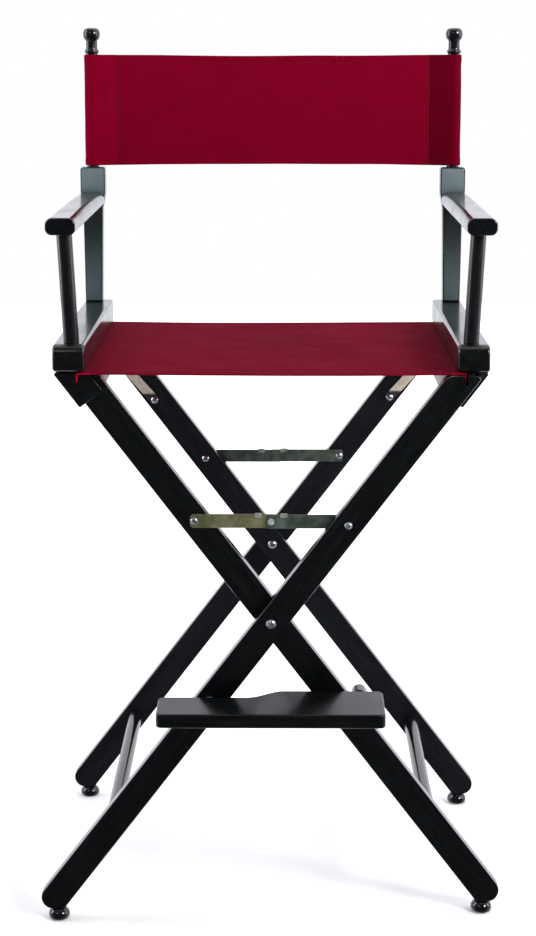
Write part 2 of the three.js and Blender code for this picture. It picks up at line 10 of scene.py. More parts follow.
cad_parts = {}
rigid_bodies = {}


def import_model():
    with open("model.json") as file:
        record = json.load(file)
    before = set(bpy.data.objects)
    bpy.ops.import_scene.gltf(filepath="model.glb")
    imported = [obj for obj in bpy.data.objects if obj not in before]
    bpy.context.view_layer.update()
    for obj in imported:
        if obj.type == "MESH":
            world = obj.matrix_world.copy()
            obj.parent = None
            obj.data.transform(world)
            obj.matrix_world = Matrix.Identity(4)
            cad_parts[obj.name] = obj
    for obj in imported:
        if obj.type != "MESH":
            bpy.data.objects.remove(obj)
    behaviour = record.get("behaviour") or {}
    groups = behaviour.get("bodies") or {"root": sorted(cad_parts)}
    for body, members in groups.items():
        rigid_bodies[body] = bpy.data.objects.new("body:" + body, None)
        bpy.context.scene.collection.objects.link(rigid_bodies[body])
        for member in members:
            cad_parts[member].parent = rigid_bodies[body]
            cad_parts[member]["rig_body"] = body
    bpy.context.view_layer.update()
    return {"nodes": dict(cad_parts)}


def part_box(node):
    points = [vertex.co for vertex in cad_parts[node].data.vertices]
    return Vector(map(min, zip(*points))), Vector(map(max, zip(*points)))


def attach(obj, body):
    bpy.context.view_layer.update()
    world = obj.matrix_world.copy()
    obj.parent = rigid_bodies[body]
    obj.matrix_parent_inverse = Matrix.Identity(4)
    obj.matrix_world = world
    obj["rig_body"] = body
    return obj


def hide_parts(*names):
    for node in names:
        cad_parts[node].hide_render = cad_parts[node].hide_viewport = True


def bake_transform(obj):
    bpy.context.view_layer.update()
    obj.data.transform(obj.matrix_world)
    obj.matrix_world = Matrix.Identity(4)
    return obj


MM = 0.001
QUARTER = math.pi / 2
LEG_ANGLE = math.radians(37.2)
STRAP_DARK_Z = 0.655
SHOULDER_Z = 1.001
ARMREST_Z = 0.958
WEAVE_PITCH = 0.0014

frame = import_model()
nodes = frame["nodes"]
scene = bpy.context.scene


# ---------------------------------------------------------------- node graph helpers
class Graph:
    """A small wrapper that builds one node material."""

    def __init__(self, name):
        self.material = bpy.data.materials.new(name)
        self.material.use_nodes = True
        self.tree = self.material.node_tree
        self.tree.nodes.clear()
        self.shader = self.node("ShaderNodeBsdfPrincipled")
        output = self.node("ShaderNodeOutputMaterial")
        self.link(self.shader.outputs[0], output.inputs["Surface"])

    def node(self, kind, **settings):
        made = self.tree.nodes.new(kind)
        for key, value in settings.items():
            setattr(made, key, value)
        return made

    def link(self, source, target):
        self.tree.links.new(source, target)

    def set(self, **values):
        for key, value in values.items():
            self.shader.inputs[key.replace("_", " ")].default_value = value

    def coordinates(self, scale=(1, 1, 1), turn=(0, 0, 0), uv=False):
        place = self.node("ShaderNodeTexCoord").outputs["UV" if uv else "Object"]
        spin = self.node("ShaderNodeMapping", vector_type="POINT")
        spin.inputs["Rotation"].default_value = turn
        self.link(place, spin.inputs["Vector"])
        size = self.node("ShaderNodeMapping", vector_type="POINT")
        size.inputs["Scale"].default_value = scale
        self.link(spin.outputs[0], size.inputs["Vector"])
        return size.outputs[0]

    def noise(self, place, scale, detail=3.0, roughness=0.55):
        made = self.node("ShaderNodeTexNoise")
        made.inputs["Scale"].default_value = scale
        made.inputs["Detail"].default_value = detail
        made.inputs["Roughness"].default_value = roughness
        self.link(place, made.inputs["Vector"])
        return made.outputs["Fac"]

    def axis(self, index, vector=None):
        """One component of a vector, which is the object coordinates if none is given."""
        parts = self.node("ShaderNodeSeparateXYZ")
        self.link(self.coordinates() if vector is None else vector, parts.inputs[0])
        return parts.outputs[index]

    def math(self, operation, a, b=None, clamp=False):
        made = self.node("ShaderNodeMath", operation=operation, use_clamp=clamp)
        for socket, value in zip(made.inputs, (a, b)):
            if value is None:
                continue
            if isinstance(value, (int, float)):
                socket.default_value = value
            else:
                self.link(value, socket)
        return made.outputs[0]

    def span(self, value, low, high, to_low=0.0, to_high=1.0):
        made = self.node("ShaderNodeMapRange", interpolation_type="SMOOTHSTEP")
        self.link(value, made.inputs["Value"])
        numbers = {"From Min": low, "From Max": high, "To Min": to_low, "To Max": to_high}
        for key, number in numbers.items():
            made.inputs[key].default_value = number
        return made.outputs[0]

    def mix(self, share, a, b):
        made = self.node("ShaderNodeMix", data_type="RGBA")
        sockets = (made.inputs[0], made.inputs[6], made.inputs[7])
        for socket, value in zip(sockets, (share, a, b)):
            if isinstance(value, tuple):
                socket.default_value = (*value, 1.0)
            elif isinstance(value, (int, float)):
                socket.default_value = value
            else:
                self.link(value, socket)
        return made.outputs[2]

    def bump(self, height, strength, distance, under=None):
        made = self.node("ShaderNodeBump")
        made.inputs["Strength"].default_value = strength
        made.inputs["Distance"].default_value = distance
        self.link(height, made.inputs["Height"])
        if under is not None:
            self.link(under, made.inputs["Normal"])
        return made.outputs[0]


# ---------------------------------------------------------------- materials
def lacquer(name, turn=(0, 0, 0), tones=((0.0010, 0.0015, 0.0018), (0.0034, 0.0048, 0.0056)),
            gloss=0.13, shine=0.5, painted_reflection=None):
    """Sprayed black lacquer over close-grained wood. The grain runs along X before turn.
    gloss is the roughness, shine the strength of the reflection, and the last argument
    the slate tone of a painted reflection on the front-facing faces."""
    g = Graph(name)
    along = g.coordinates((14, 160, 160), turn)
    pores = g.coordinates((60, 1500, 1500), turn)
    flat = g.coordinates(turn=turn)
    grain = g.noise(along, 1.0, 5.0, 0.6)
    pore = g.span(g.noise(pores, 1.0, 2.0), 0.60, 0.72)
    cloud = g.noise(flat, 9.0, 2.0)
    speck = g.span(g.noise(flat, 900.0, 1.0), 0.70, 0.80)
    colour = g.mix(g.span(grain, 0.35, 0.75), *tones)
    colour = g.mix(g.math("MULTIPLY", pore, 0.35), colour, (0.001, 0.001, 0.0012))
    colour = g.mix(g.math("MULTIPLY", speck, 0.06), colour, (0.06, 0.06, 0.06))
    if painted_reflection is not None:
        # Painted reflection: front-facing faces below the shoulder take the slate tone, in full above the
        # armrest and about half below 0.80 m.
        front = g.span(g.axis(1, g.node("ShaderNodeTexCoord").outputs["Normal"]), -0.998, -0.96, 1.0, 0.0)
        height = g.axis(2)
        below = g.span(height, SHOULDER_Z - 0.002, SHOULDER_Z + 0.002, 1.0, 0.0)
        above_arm = g.span(height, ARMREST_Z - 0.018, ARMREST_Z + 0.017, 0.08, 1.0)
        near_base = g.span(height, 0.80, 0.92, 0.45, 0.0)
        amount = g.math("MULTIPLY", g.math("ADD", above_arm, near_base, clamp=True), below)
        colour = g.mix(g.math("MULTIPLY", front, amount), colour, painted_reflection)
    g.link(colour, g.shader.inputs["Base Color"])
    satin = g.span(cloud, 0.3, 0.7, gloss, gloss + 0.09)
    g.link(g.math("ADD", satin, g.math("MULTIPLY", grain, 0.05)), g.shader.inputs["Roughness"])
    ripple = g.bump(g.noise(flat, 210.0, 1.0), 0.10, 0.0004)
    fibre = g.bump(grain, 0.10, 0.0004, ripple)
    g.link(g.bump(pore, 0.12, 0.0001, fibre), g.shader.inputs["Normal"])
    g.set(IOR=1.5, Specular_IOR_Level=shine, Coat_Weight=0.4 * shine, Coat_Roughness=0.06)
    return g.material


def canvas(name, tint=1.0, haze=0.05, haze_tint=(0.70, 0.02, 0.10, 1.0), painted_front_shade=0.0):
    """Plain-woven cotton duck. UVs are the cloth's own metres, so the weave lies along it.
    haze is the pale sheen of raised fibres that shows when the cloth is seen from low down.
    The last argument is a painted shade: how much darker the cloth is made in front of the back posts'
    middle."""
    g = Graph(name)
    cloth = g.coordinates(uv=True)
    turns = 2 * math.pi / WEAVE_PITCH
    warp = g.math("SINE", g.math("MULTIPLY", g.axis(0, cloth), turns))
    weft = g.math("SINE", g.math("MULTIPLY", g.axis(1, cloth), turns))
    weave = g.math("MULTIPLY_ADD", g.math("MULTIPLY", warp, weft), 0.5)
    weave.node.inputs[2].default_value = 0.5
    slub_u = g.noise(g.coordinates((1600, 30, 1), uv=True), 1.0, 2.0)
    slub_v = g.noise(g.coordinates((30, 1600, 1), uv=True), 1.0, 2.0)
    slub = g.math("ADD", slub_u, slub_v)
    cloud = g.noise(g.coordinates(uv=True), 16.0, 4.0, 0.6)
    deep = tuple(tint * x for x in (0.172, 0.0002, 0.0125))
    bright = tuple(tint * x for x in (0.232, 0.0006, 0.0190))
    colour = g.mix(g.span(slub, 0.7, 1.3), deep, bright)
    # Painted shade: the cloth is darker in the low points of the weave, its hollows.
    colour = g.mix(g.span(weave, 0.0, 0.55, 0.35, 0.0), colour, tuple(0.35 * x for x in deep))
    colour = g.mix(g.span(cloud, 0.35, 0.75, 0.0, 0.22), colour, tuple(0.72 * x for x in deep))
    # Painted shade: the cloth in front of the back posts' middle is darkened towards near-black.
    if painted_front_shade:
        front = g.span(g.axis(1), POST_Y - 0.0003, POST_Y + 0.0006, painted_front_shade, 0.0)
        colour = g.mix(front, colour, (0.004, 0.0, 0.0003))
    g.link(colour, g.shader.inputs["Base Color"])
    g.link(g.span(cloud, 0.3, 0.7, 0.74, 0.86), g.shader.inputs["Roughness"])
    threads = g.bump(weave, 0.45, 0.00016)
    g.link(g.bump(slub, 0.20, 0.00022, threads), g.shader.inputs["Normal"])
    g.set(Specular_IOR_Level=0.012, Sheen_Weight=haze, Sheen_Roughness=0.45, Sheen_Tint=haze_tint)
    return g.material


def slot_cloth(name):
    """The seat canvas where it bends into the slots, with painted light that makes it brighter at the
    seat's front.
    """
    g = Graph(name)
    fibre = g.noise(g.coordinates(), 900.0, 2.0)
    # Painted light: near the seat's front, where the cloth turns down at the corner, it is made brighter.
    front_painted_light = g.span(g.axis(1), SEAT_FRONT + 0.002, SEAT_FRONT + 0.010, 1.0, 0.0)
    colour = g.mix(fibre, (0.095, 0.0005, 0.0075), (0.125, 0.0010, 0.0105))
    g.link(g.mix(front_painted_light, colour, (0.26, 0.0015, 0.014)), g.shader.inputs["Base Color"])
    g.link(g.bump(fibre, 0.3, 0.0002), g.shader.inputs["Normal"])
    g.set(Roughness=0.85, Specular_IOR_Level=0.03)
    return g.material


def thread(name):
    """Twisted sewing thread, a shade lighter than the canvas."""
    g = Graph(name)
    twist = g.noise(g.coordinates(), 1400.0, 2.0)
    colour = g.mix(g.span(twist, 0.3, 0.7), (0.13, 0.001, 0.009), (0.22, 0.003, 0.018))
    g.link(colour, g.shader.inputs["Base Color"])
    g.link(g.bump(twist, 0.4, 0.0002), g.shader.inputs["Normal"])
    g.set(Roughness=0.7, Specular_IOR_Level=0.15)
    return g.material


def zinc(name, low, high, metallic=0.5, rough=0.34):
    """Zinc-plated steel, rolled along X: low and high are the tones of its patches."""
    g = Graph(name)
    rolled = g.noise(g.coordinates((25, 900, 900)), 1.0, 3.0)
    patch = g.noise(g.coordinates(), 60.0, 4.0, 0.65)
    scratch = g.span(g.noise(g.coordinates((40, 2600, 2600)), 1.0, 2.0), 0.62, 0.70)
    colour = g.mix(g.span(patch, 0.30, 0.70), low, high)
    colour = g.mix(g.math("MULTIPLY", scratch, 0.12), colour, (0.50, 0.50, 0.44))
    g.link(colour, g.shader.inputs["Base Color"])
    g.link(g.span(patch, 0.25, 0.75, rough, rough + 0.08), g.shader.inputs["Roughness"])
    g.link(g.bump(rolled, 0.06, 0.0002), g.shader.inputs["Normal"])
    g.set(Metallic=metallic)
    return g.material


def strap_metal(name):
    """Bare tan-tinted steel strap with fine blotches, near-black below a set height round its lower
    screw.
    """
    g = Graph(name)
    blotch = g.noise(g.coordinates(), 260.0, 5.0, 0.7)
    patch = g.noise(g.coordinates(), 45.0, 2.0)
    colour = g.mix(g.span(blotch, 0.35, 0.65), (0.50, 0.43, 0.34), (0.68, 0.61, 0.51))
    colour = g.mix(g.span(patch, 0.55, 0.80, 0.0, 0.5), colour, (0.40, 0.35, 0.27))
    # Near-black below STRAP_DARK_Z, round the lower screw.
    lower_end = g.span(g.axis(2), STRAP_DARK_Z, STRAP_DARK_Z + 0.004, 1.0, 0.0)
    colour = g.mix(lower_end, colour, (0.030, 0.032, 0.036))
    g.link(colour, g.shader.inputs["Base Color"])
    g.link(g.span(blotch, 0.3, 0.7, 0.34, 0.52), g.shader.inputs["Roughness"])
    g.link(g.bump(blotch, 0.10, 0.0002), g.shader.inputs["Normal"])
    g.set(Metallic=0.25)
    return g.material


def painted_steel(name):
    """Satin black paint on steel."""
    g = Graph(name)
    spatter = g.noise(g.coordinates(), 420.0, 3.0)
    colour = g.mix(spatter, (0.004, 0.005, 0.006), (0.012, 0.013, 0.015))
    g.link(colour, g.shader.inputs["Base Color"])
    g.link(g.span(spatter, 0.3, 0.7, 0.34, 0.48), g.shader.inputs["Roughness"])
    g.link(g.bump(spatter, 0.08, 0.0002), g.shader.inputs["Normal"])
    return g.material


def moulded(name):
    """Glossy black moulded glide, scuffed near the floor."""
    g = Graph(name)
    scuff = g.noise(g.coordinates((1, 1, 3)), 220.0, 4.0, 0.7)
    low = g.span(g.axis(2), 0.0, 0.007, 1.0, 0.0)
    worn = g.math("MULTIPLY", low, g.span(scuff, 0.45, 0.65))
    colour = g.mix(g.math("MULTIPLY", worn, 0.5), (0.004, 0.004, 0.005), (0.05, 0.05, 0.05))
    g.link(colour, g.shader.inputs["Base Color"])
    g.link(g.math("ADD", g.math("MULTIPLY", worn, 0.35), 0.10), g.shader.inputs["Roughness"])
    g.set(Coat_Weight=0.3, Coat_Roughness=0.05)
    return g.material


# ---------------------------------------------------------------- places taken from the CAD
seat_low, seat_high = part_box("seat_canvas_left_half")
SEAT_TOP = seat_high.z
SEAT_EDGE_X = -seat_low.x
SEAT_FRONT, SEAT_BACK = seat_low.y, seat_high.y
post_low, post_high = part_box("right_back_post")
POST_X = (post_low.x + post_high.x) / 2
POST_Y = (post_low.y + post_high.y) / 2

# ---------------------------------------------------------------- the materials in use
# Lighter, bluer lacquer tones for the rear legs than for the front ones.
REAR_LEG_TONES = ((0.0042, 0.0052, 0.0068), (0.0090, 0.0105, 0.0130))
WOOD = {
    "x": lacquer("lacquer_x", gloss=0.24, shine=0.26),
    "y": lacquer("lacquer_y", (0, 0, -QUARTER)),
    "outer_front": lacquer("lacquer_outer_front_leg", (0, QUARTER - LEG_ANGLE, 0)),
    "inner_front": lacquer("lacquer_inner_front_leg", (0, QUARTER + LEG_ANGLE, 0)),
    "outer_rear": lacquer("lacquer_outer_rear_leg", (0, QUARTER - LEG_ANGLE, 0), REAR_LEG_TONES),
    "inner_rear": lacquer("lacquer_inner_rear_leg", (0, QUARTER + LEG_ANGLE, 0), REAR_LEG_TONES),
    # The back posts' lacquer, with a painted reflection on its front faces.
    "post": lacquer("lacquer_post_painted_reflection", (0, QUARTER, 0), painted_reflection=(0.150, 0.200, 0.208)),
    "round": lacquer("lacquer_round_post", (0, QUARTER, 0), gloss=0.24),
}
OLIVE_ZINC = zinc("zinc_steel_olive", (0.105, 0.110, 0.052), (0.230, 0.230, 0.125))
GREEN_ZINC = zinc("zinc_steel_green", (0.050, 0.068, 0.056), (0.125, 0.155, 0.128))
BOLT = zinc("zinc_steel_bolt", (0.36, 0.37, 0.40), (0.62, 0.64, 0.68), 0.92, 0.17)
RIVET = zinc("zinc_steel_rivet", (0.48, 0.50, 0.56), (0.74, 0.76, 0.82), 0.5, 0.24)
EAR = zinc("zinc_steel_ear", (0.22, 0.23, 0.19), (0.46, 0.47, 0.41), 0.5, 0.26)
STRAP = {"rear": strap_metal("tan_steel_strap"), "front": painted_steel("black_steel_strap")}
GLIDE = moulded("black_glide")
BACK_CANVAS = canvas("crimson_canvas_back", 0.92, 0.03)
# The right sleeve's canvas, with painted shade on its front layer.
SHADED_CANVAS = canvas("crimson_canvas_right_sleeve_painted_shade", 0.92, 0.03, painted_front_shade=0.42)
SEAT_CANVAS = canvas("crimson_canvas_seat", 0.68, 0.025, (0.80, 0.10, 0.18, 1.0))
# The seat cloth at the slots, with painted light near the seat's front.
SEAT_EDGE = slot_cloth("crimson_canvas_edge")
THREAD = thread("crimson_thread")


# ---------------------------------------------------------------- carried-over wood and steel
def polish(name, material, width, segments=2):
    """Gives a CAD node its material and small rounded edges, width mm, that catch the light."""
    part = nodes[name]
    part.data.materials.clear()
    part.data.materials.append(material)
    bpy.context.view_layer.objects.active = part
    bpy.ops.mesh.customdata_custom_splitnormals_clear()
    part.data.polygons.foreach_set("use_smooth", [True] * len(part.data.polygons))
    weld = part.modifiers.new("weld", "WELD")
    weld.merge_threshold = 1e-5
    if width > 0:
        flat = part.modifiers.new("flat_faces", "DECIMATE")
        flat.decimate_type = "DISSOLVE"
        flat.angle_limit = math.radians(0.6)
        bevel = part.modifiers.new("eased_edges", "BEVEL")
        bevel.width = width * MM
        bevel.segments = segments
        bevel.limit_method = "ANGLE"
        bevel.angle_limit = math.radians(25)
        bevel.use_clamp_overlap = True
    normals = part.modifiers.new("shading", "WEIGHTED_NORMAL")
    normals.keep_sharp = True
    normals.weight = 80


def polish_frames():
    for end in ("front", "rear"):
        polish(f"outer_{end}_leg", WOOD[f"outer_{end}"], 0.9, 3)
        polish(f"inner_{end}_leg", WOOD[f"inner_{end}"], 0.9, 3)
        polish(f"outer_{end}_glide", GLIDE, 0)
        polish(f"inner_{end}_glide", GLIDE, 0)
        polish(f"{end}_pivot_spacer", BOLT, 0.3)
        polish(f"{end}_brace_left_link", OLIVE_ZINC if end == "front" else GREEN_ZINC, 0.25)
        polish(f"{end}_brace_right_link", GREEN_ZINC, 0.25)
    for name in ("right_seat_rail", "left_seat_rail", "outer_stretcher", "inner_stretcher"):
        polish(name, WOOD["y"], 0.6)
    polish("footrest_board", WOOD["x"], 0.8)
    polish("footrest_peg", WOOD["y"], 0.6)
    polish("footrest_hinge_spacer", BOLT, 0.4)


def polish_arms():
    for side in ("left", "right"):
        polish(f"{side}_arm_base", WOOD["y"], 0.5)
        polish(f"{side}_armrest", WOOD["y"], 0.5)
        polish(f"{side}_back_post", WOOD["post"], 0.9, 3)
        polish(f"{side}_front_post", WOOD["round"], 0.4)
        for end in ("front", "rear"):
            polish(f"{side}_{end}_hinge_strap", STRAP[end], 0.3)
            polish(f"{side}_{end}_hinge_pin", BOLT, 0)


# ---------------------------------------------------------------- mesh helpers
def place_mesh(name, mesh, material):
    """Puts a mesh in the scene with its material."""
    mesh.materials.append(material)
    made = bpy.data.objects.new(name, mesh)
    scene.collection.objects.link(made)
    return made


def surface(name, points, uvs, material, closed=False):
    """A smooth grid mesh from an (n, m, 3) array of points and (n, m, 2) UVs in metres."""
    n, m = points.shape[:2]
    mesh = bpy.data.meshes.new(name)
    index = np.arange(n * m).reshape(n, m)
    if closed:
        index = np.concatenate([index, index[:1]])
    quads = np.stack([index[:-1, :-1], index[1:, :-1], index[1:, 1:], index[:-1, 1:]], -1)
    mesh.from_pydata(points.reshape(-1, 3).tolist(), [], quads.reshape(-1, 4).tolist())
    layer = mesh.uv_layers.new(name="cloth")
    corners = np.array([loop.vertex_index for loop in mesh.loops])
    layer.data.foreach_set("uv", uvs.reshape(-1, 2)[corners].ravel())
    mesh.polygons.foreach_set("use_smooth", [True] * len(mesh.polygons))
    return place_mesh(name, mesh, material)


def path_length(path):
    """The distance along a path at each of its points."""
    steps = np.linalg.norm(np.diff(np.asarray(path, float), axis=0), axis=1)
    return np.concatenate([[0], np.cumsum(steps)])


def stitches(name, path, normal, pitch=0.0034, length=0.0026, radius=0.00042):
    """A row of sewn stitches along a path of points, each one a small rounded lozenge."""
    path = np.asarray(path, float)
    distance = path_length(path)
    centres = np.arange(pitch / 2, distance[-1], pitch)
    place = lambda d: np.stack([np.interp(d, distance, path[:, k]) for k in range(3)], -1)
    verts, faces = [], []
    rings, sides = ((-0.5, 0.25), (-0.32, 0.85), (0.0, 1.0), (0.32, 0.85), (0.5, 0.25)), 6
    for centre in centres:
        ahead = place(centre + length / 2) - place(centre - length / 2)
        ahead /= max(np.linalg.norm(ahead), 1e-9)
        side = np.cross(ahead, normal)
        lift = np.cross(side, ahead)
        middle, base = place(centre), len(verts)
        for offset, share in rings:
            for k in range(sides):
                a = 2 * math.pi * k / sides
                spoke = radius * share * (math.cos(a) * side + math.sin(a) * lift)
                verts.append(middle + ahead * offset * length + spoke)
        for r in range(len(rings) - 1):
            for k in range(sides):
                a, b = base + r * sides + k, base + r * sides + (k + 1) % sides
                faces.append((a, b, b + sides, a + sides))
        faces.append(tuple(base + k for k in reversed(range(sides))))
        faces.append(tuple(base + (len(rings) - 1) * sides + k for k in range(sides)))
    mesh = bpy.data.meshes.new(name)
    mesh.from_pydata([tuple(v) for v in verts], [], faces)
    mesh.polygons.foreach_set("use_smooth", [True] * len(mesh.polygons))
    return place_mesh(name, mesh, THREAD)


# ---------------------------------------------------------------- seat canvas
SEAT_HEM = 0.016
FOLD_RADIUS = 0.0009
SEAT_SPLIT_X = 0.237
SEAT_LEVEL = SEAT_TOP - 0.0003
SEAT_BEND = 0.0026
SEAT_CORNER_X = SEAT_EDGE_X - 0.0006 - SEAT_BEND


def hem_profile(low, high, hem, radius, step):
    """(along, depth) points of a cloth folded back at both ends: the flap, the fold, the face."""
    turn = np.linspace(-QUARTER, QUARTER, 7)
    flap = np.arange(low + hem, low + radius, -step)
    first = [(a, -2 * radius) for a in flap]
    first += [(low + radius - radius * math.cos(t), -radius + radius * math.sin(t)) for t in turn]
    face = np.arange(low + radius + step, high - radius, step)
    last = [(high + low - a, d) for a, d in reversed(first)]
    return np.array(first + [(a, 0.0) for a in face] + last)


def seat_height(x, y):
    """The top of the seat above its level at the rails: a slight sag with drawn tension lines."""
    across = max(0.0, 1 - (x / SEAT_EDGE_X) ** 2)
    depth = (y - SEAT_FRONT) / (SEAT_BACK - SEAT_FRONT)
    sag = -0.0030 * across * (0.55 + 0.45 * math.sin(math.pi * depth))
    drawn = 0.00042 * across * noise.noise(Vector((x / 0.22, y / 0.011, 3.0)))
    broad = 0.0008 * across * noise.noise(Vector((x / 0.30, y / 0.07, 8.0)))
    return sag + drawn + broad


def hem_pucker(x, distance, seed):
    """The groove and gathers of a sewn line, by distance from the line along the cloth."""
    near = math.exp(-(distance / 0.0022) ** 2)
    wide = math.exp(-(distance / 0.007) ** 2)
    gather = noise.noise(Vector((x / 0.009, seed, 0.0)))
    return -0.00035 * near + 0.00035 * wide * gather


def seat_point(x, y, depth):
    """A point of the seat cloth at x, y: depth is how far it lies under the face."""
    height = seat_height(x, y)
    front, back = y - (SEAT_FRONT + SEAT_HEM - 0.003), y - (SEAT_BACK - SEAT_HEM + 0.003)
    height += hem_pucker(x, front, 1.0) + hem_pucker(x, back, 2.0)
    edge = 0.0011 * noise.noise(Vector((x / 0.09, 5.0, math.copysign(1, y - 0.03))))
    fade = math.exp(-min(abs(y - SEAT_FRONT), abs(y - SEAT_BACK)) / 0.02)
    y_low, y_high = SEAT_FRONT + 0.0002, SEAT_BACK - 0.0002
    return (x, min(max(y + edge * fade, y_low), y_high), SEAT_LEVEL + depth + height)


def seat_bend(side, angle, y, depth):
    """A point where the cloth turns down into the rail's slot, by the angle it has turned."""
    radius = SEAT_BEND + depth
    z = SEAT_LEVEL - SEAT_BEND + radius * math.cos(angle)
    return (side * (SEAT_CORNER_X + radius * math.sin(angle)), y, z)


def seat_tuck(side, z, y, depth):
    """A point of the cloth inside the slot, at the height z."""
    return (side * (SEAT_CORNER_X + SEAT_BEND + depth), y, z)


def seat_piece(name, xs, side=0):
    """Part of the seat cloth over the given x values, then down into the slot on that side."""
    profile = hem_profile(SEAT_FRONT, SEAT_BACK, SEAT_HEM, FOLD_RADIUS, 0.0025)
    run = path_length(profile)
    columns = [[seat_point(x, y, d) for y, d in profile] for x in xs]
    texture = [[(x, r) for r in run] for x in xs]
    if side:
        for angle in np.linspace(0.15, 1, 7) * QUARTER:
            columns.append([seat_bend(side, angle, y, d) for y, d in profile])
            texture.append([(side * (SEAT_CORNER_X + SEAT_BEND * angle), r) for r in run])
        for z in np.linspace(SEAT_LEVEL - SEAT_BEND - 0.0015, seat_low.z + 0.0004, 5):
            columns.append([seat_tuck(side, z, y, d) for y, d in profile])
            texture.append([(side * (SEAT_CORNER_X + SEAT_LEVEL - z), r) for r in run])
    return surface(name, np.array(columns), np.array(texture), SEAT_EDGE if side else SEAT_CANVAS)


def seat_line(y, x0, x1, step=0.003):
    xs = np.arange(x0, x1 + step / 2, step)
    return [Vector(seat_point(x, y, 0.0)) + Vector((0, 0, 0.00025)) for x in xs]


def make_seat():
    step = 0.003
    split = SEAT_SPLIT_X
    panel = seat_piece("seat_canvas", np.linspace(-split, split, int(2 * split / step) + 1))
    left = seat_piece("seat_canvas_left_edge", np.linspace(-split, -SEAT_CORNER_X, 8), -1)
    right = seat_piece("seat_canvas_right_edge", np.linspace(split, SEAT_CORNER_X, 8), 1)
    rows = []
    for label, y in (("front", SEAT_FRONT + SEAT_HEM - 0.003), ("rear", SEAT_BACK - SEAT_HEM + 0.003)):
        rows.append(stitches(f"seat_{label}_stitches", seat_line(y, -split, split), (0, 0, 1)))
    for piece in (panel, *rows):
        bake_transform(piece)
    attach(left, "inner_frame")
    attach(right, "outer_frame")
    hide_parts("seat_canvas_left_half", "seat_canvas_right_half")


# ---------------------------------------------------------------- back canvas
BACK_HEM = 0.013
SEAM_FROM_POST = 0.036
back_low, back_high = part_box("back_canvas_right_half")
BACK_BOTTOM, BACK_TOP = back_low.z, back_high.z
SEAM_X = POST_X - SEAM_FROM_POST
LOOP_RADIUS = back_high.x - POST_X - 0.0006


def back_bow(x, z):
    """How far the back cloth stands behind its straight line, with slight drawn waves."""
    across = max(0.0, 1 - (x / SEAM_X) ** 2)
    up = (z - BACK_BOTTOM) / (BACK_TOP - BACK_BOTTOM)
    bow = 0.0022 * across * math.sin(math.pi * (0.15 + 0.7 * up))
    drawn = 0.00035 * noise.noise(Vector((x / 0.16, z / 0.03, 2.0)))
    return bow + drawn * min(1.0, 6 * across)


def edge_shift(x, z):
    """The slight unevenness of the cloth's top and bottom edges."""
    up = (z - BACK_BOTTOM) / (BACK_TOP - BACK_BOTTOM)
    wave = 0.0009 * noise.noise(Vector((x / 0.11, 4.0 + round(up), 0.0)))
    inward = -0.0016 * max(0.0, 1 - (abs(x) / SEAM_X) ** 2)
    return (wave + inward) * (up - 0.5) * 2


def back_point(x, z, depth):
    distance = min(abs(z - BACK_TOP + BACK_HEM - 0.002), abs(z - BACK_BOTTOM - BACK_HEM + 0.002))
    lift = hem_pucker(x, distance, 9.0)
    seam = abs(abs(x) - SEAM_X + 0.003)
    lift += 0.5 * hem_pucker(z, seam, 12.0)
    top = min(max(z + edge_shift(x, z), BACK_BOTTOM), BACK_TOP)
    return (x, POST_Y - 0.0006 + back_bow(x, z) - lift - depth, top)


def make_back_panel():
    profile = hem_profile(BACK_BOTTOM, BACK_TOP, BACK_HEM, FOLD_RADIUS, 0.0025)
    run = path_length(profile)
    xs = np.linspace(-SEAM_X, SEAM_X, int(2 * SEAM_X / 0.003) + 1)
    points = np.array([[back_point(x, z, d) for z, d in profile] for x in xs])
    uvs = np.array([[(x, r) for r in run] for x in xs])
    panel = surface("back_canvas", points, uvs, BACK_CANVAS)
    rows = []
    for label, z in (("top", BACK_TOP - BACK_HEM + 0.002), ("bottom", BACK_BOTTOM + BACK_HEM - 0.002)):
        line = [Vector(back_point(x, z, 0.0)) - Vector((0, 0.0002, 0)) for x in xs]
        rows.append(stitches(f"back_{label}_stitches", line, (0, -1, 0)))
    for piece in (panel, *rows):
        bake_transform(piece)
    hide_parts("back_canvas_left_half", "back_canvas_right_half")


def loop_path(side):
    """The closed line of the sleeve round a post, from the seam's front round to its back."""
    lean = math.acos(LOOP_RADIUS / SEAM_FROM_POST)
    reach_x = side * (POST_X + LOOP_RADIUS * math.cos(math.pi - lean))
    reach_y = LOOP_RADIUS * math.sin(lean)
    seam_x, count = side * SEAM_X, 9
    points = []
    for k in range(count):
        t = k / count
        y = POST_Y - 0.0006 + (0.0006 - reach_y) * t
        points.append((seam_x + (reach_x - seam_x) * t, y))
    for a in np.linspace(math.pi - lean, lean - math.pi, 33):
        points.append((side * (POST_X + LOOP_RADIUS * math.cos(a)), POST_Y - LOOP_RADIUS * math.sin(a)))
    for k in range(1, count + 1):
        t = k / count
        y = POST_Y + reach_y + (0.0008 - reach_y) * t
        points.append((reach_x + (seam_x - reach_x) * t, y))
    return np.array(points)


